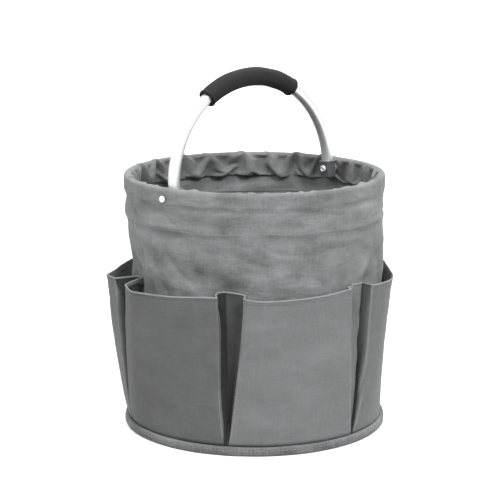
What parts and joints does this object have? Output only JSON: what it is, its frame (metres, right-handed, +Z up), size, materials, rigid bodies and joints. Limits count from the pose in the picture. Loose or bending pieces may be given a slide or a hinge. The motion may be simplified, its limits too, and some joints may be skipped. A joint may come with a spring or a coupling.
{
  "type": "tool bucket organizer",
  "caption": "Round fabric bucket bag for garden or hand tools, with a hooped rim, pleated outside pockets and a swinging metal arch handle with a foam grip.",
  "frame": {"origin": "centre of the base, at the level of the surface it stands on", "axes": "+Z up, X along the handle's pivot axis, Y across it"},
  "size_m": [0.2974, 0.3082, 0.3883],
  "materials": {
    "oxford_cloth": "matte grey coated oxford weave, soft sheen",
    "pocket_cloth": "matte grey coated oxford weave, pressed pleats",
    "rim_cloth": "matte grey oxford weave, puckered at the seams",
    "lining_cloth": "matte grey woven back of the cloth",
    "binding_tape": "grey woven edge tape, stitched",
    "base_board": "dark moulded sheet",
    "hoop_metal": "plain rolled strip, hidden",
    "tube_metal": "satin anodised tube",
    "grip_foam": "matte black closed-cell foam",
    "socket_plastic": "dark grey moulded plastic, slight gloss",
    "rivet_metal": "bright plated rivet",
    "washer_nylon": "natural nylon"
  },
  "bodies": {
    "bag": {"base_panel": "lining_cloth", "base_board": "base_board", "base_lining": "lining_cloth", "base_binding": "binding_tape", "bag_wall": "oxford_cloth", "rim_hoop": "hoop_metal", "rim_casing": "rim_cloth", "rim_facing": "rim_cloth", "pocket_1": "pocket_cloth", "pocket_2": "pocket_cloth", "pocket_3": "pocket_cloth", "pocket_4": "pocket_cloth", "pocket_5": "pocket_cloth", "pocket_6": "pocket_cloth", "pivot_rivet_left": "rivet_metal", "pivot_rivet_right": "rivet_metal", "pivot_washer_left": "washer_nylon", "pivot_washer_right": "washer_nylon"},
    "handle": {"handle_tube": "tube_metal", "handle_grip": "grip_foam", "handle_socket_left": "socket_plastic", "handle_socket_right": "socket_plastic"}
  },
  "joints": [
    {"name": "handle_swing", "type": "hinge", "parent": "bag", "child": "handle", "pos_m": [0, 0, 0.265], "axis": [1, 0, 0], "range_deg": [-82, 90]}
  ]
}
